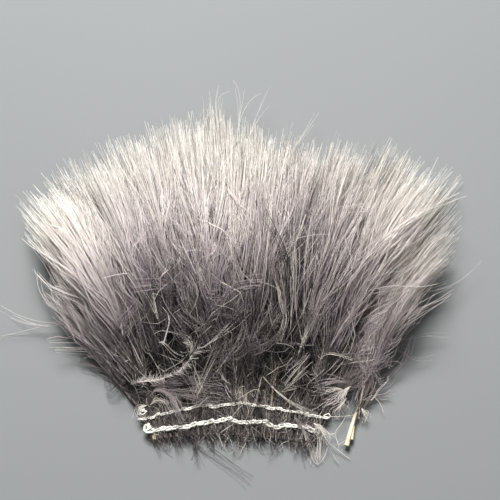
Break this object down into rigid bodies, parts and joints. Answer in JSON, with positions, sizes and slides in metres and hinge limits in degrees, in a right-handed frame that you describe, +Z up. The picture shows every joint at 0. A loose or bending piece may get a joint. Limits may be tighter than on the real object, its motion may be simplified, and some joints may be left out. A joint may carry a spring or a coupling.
{
  "type": "strung marabou feathers",
  "caption": "Short strung length of grey marabou: soft downy plumes with pale tips, sewn side by side at their quills by rows of cotton chain stitch, fanned out flat.",
  "frame": {"origin": "middle of the bounding box, on the surface that the plumes lie on", "axes": "+X along the string of quills, +Y from the quills towards the plume tips, +Z up from the surface"},
  "size_m": [0.1676, 0.1438, 0.0315],
  "materials": {
    "down": "matte",
    "cotton": "matte"
  },
  "bodies": {
    "root": {"plume_01": "down", "plume_02": "down", "plume_03": "down", "plume_04": "down", "plume_05": "down", "plume_06": "down", "plume_07": "down", "plume_08": "down", "plume_09": "down", "plume_10": "down", "plume_11": "down", "plume_12": "down", "plume_13": "down", "plume_14": "down", "plume_15": "down", "plume_16": "down", "plume_17": "down", "plume_18": "down", "plume_19": "down", "plume_20": "down", "plume_21": "down", "plume_22": "down", "plume_23": "down", "plume_24": "down", "plume_25": "down", "plume_26": "down", "plume_27": "down", "plume_28": "down", "plume_29": "down", "plume_30": "down", "thread_upper": "cotton", "thread_lower": "cotton"}
  },
  "joints": []
}
